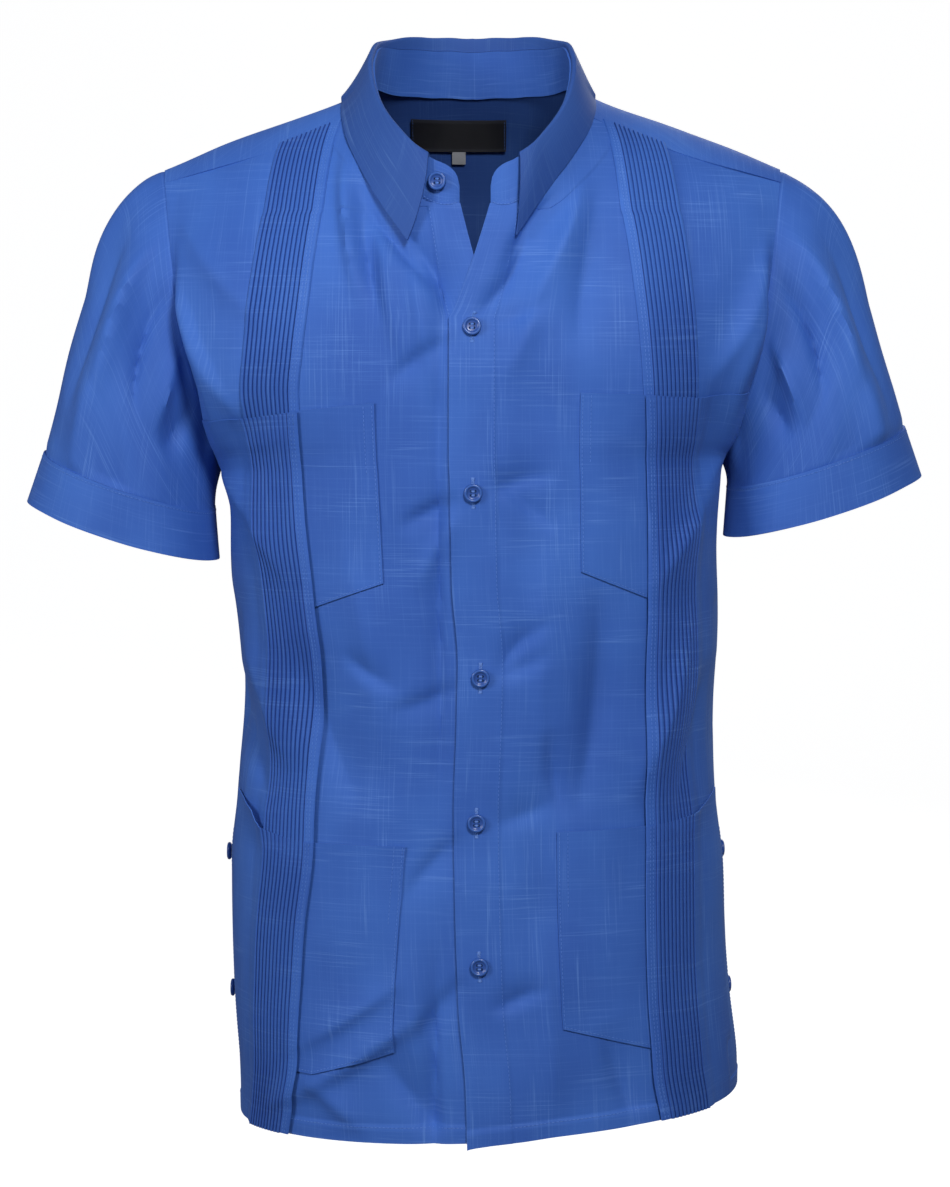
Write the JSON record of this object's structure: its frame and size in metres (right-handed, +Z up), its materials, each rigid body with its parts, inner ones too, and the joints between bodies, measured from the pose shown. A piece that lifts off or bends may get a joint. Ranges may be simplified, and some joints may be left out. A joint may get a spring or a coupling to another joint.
{
  "type": "guayabera shirt",
  "caption": "Short-sleeved men's shirt with bands of fine tucks, patch pockets and a pointed collar worn open, filled out as if worn, with no wearer",
  "frame": {"origin": "midway between the two points where the shoulders meet the neck, where a wearer's neck carries the shirt", "axes": "+Z up the standing wearer, +X towards the wearer's left, +Y towards the wearer's back; the front faces -Y"},
  "size_m": [0.639, 0.261, 0.7776],
  "materials": {
    "shirting": "slubbed linen-look plain weave with a faint sheen",
    "button": "glossy, slightly translucent",
    "label": "dense satin weave",
    "tab": "dense satin weave"
  },
  "bodies": {
    "root": {"front_right": "shirting", "front_left": "shirting", "back": "shirting", "yoke": "shirting", "sleeve_right": "shirting", "sleeve_left": "shirting", "cuff_right": "shirting", "cuff_left": "shirting", "collar_stand": "shirting", "collar_leaf": "shirting", "tuck_band_right": "shirting", "tuck_band_left": "shirting", "chest_pocket_right": "shirting", "chest_pocket_left": "shirting", "hip_pocket_right": "shirting", "hip_pocket_left": "shirting", "vent_strip_right": "shirting", "vent_strip_left": "shirting", "front_button_1": "button", "front_button_2": "button", "front_button_3": "button", "front_button_4": "button", "front_button_5": "button", "collar_button": "button", "vent_button_right_1": "button", "vent_button_right_2": "button", "vent_button_left_1": "button", "vent_button_left_2": "button", "label": "label", "size_tab": "tab"}
  },
  "joints": []
}
